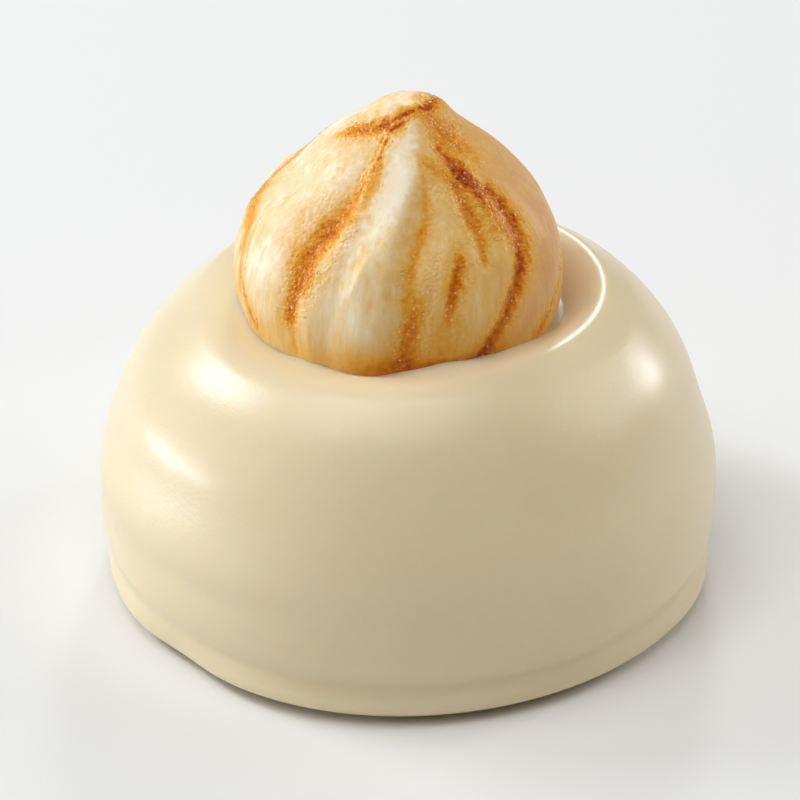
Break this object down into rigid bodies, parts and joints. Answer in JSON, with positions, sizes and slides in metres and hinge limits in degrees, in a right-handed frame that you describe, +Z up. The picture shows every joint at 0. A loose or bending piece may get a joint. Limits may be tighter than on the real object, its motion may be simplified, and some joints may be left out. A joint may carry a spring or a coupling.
{
  "type": "hazelnut praline",
  "caption": "Domed praline with a smooth white coating and a whole roasted hazelnut kernel sunk in a shallow crater on top.",
  "frame": {"origin": "centre of the bounding box at its bottom, which is the centre of the flat sole", "axes": "+Z up along the axis of the dome towards the kernel's tip; the pictured side faces -Y, and +X is to the right in the picture"},
  "size_m": [0.028, 0.028, 0.0235],
  "materials": {
    "coating": "smooth set white chocolate, cream coloured, with a soft gloss",
    "hazelnut": "roasted kernel without its skin, cream to tan with red-brown streaks, satin"
  },
  "bodies": {
    "root": {"coating": "coating", "hazelnut": "hazelnut"}
  },
  "joints": []
}
